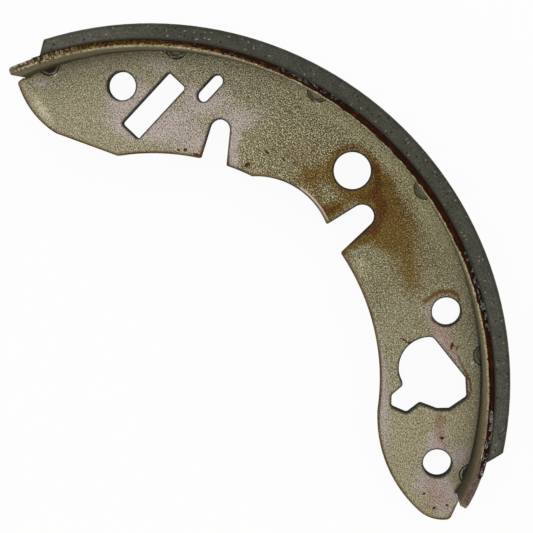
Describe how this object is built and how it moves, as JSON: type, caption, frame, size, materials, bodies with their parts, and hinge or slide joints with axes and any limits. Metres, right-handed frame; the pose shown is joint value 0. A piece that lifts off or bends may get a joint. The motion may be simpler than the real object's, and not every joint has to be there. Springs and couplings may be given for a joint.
{
  "type": "bonded drum brake shoe",
  "caption": "Arched drum brake shoe: a flat slotted web under a welded rim that carries a bonded friction lining.",
  "frame": {"origin": "centre of the web's hold-down hole, halfway through the web", "axes": "+Z parallel to the drum's axis, +Y along the shoe's midline towards the lining, +X along the chord towards the hooked end of the web"},
  "size_m": [0.1792, 0.0768, 0.04],
  "materials": {
    "web_steel": "passivated zinc, dulled and stained",
    "rim_steel": "passivated zinc, dulled",
    "adhesive": "cured phenolic bonding film",
    "lining": "ground moulded friction material"
  },
  "bodies": {
    "root": {"web": "web_steel", "rim": "rim_steel", "adhesive": "adhesive", "lining": "lining"}
  },
  "joints": []
}
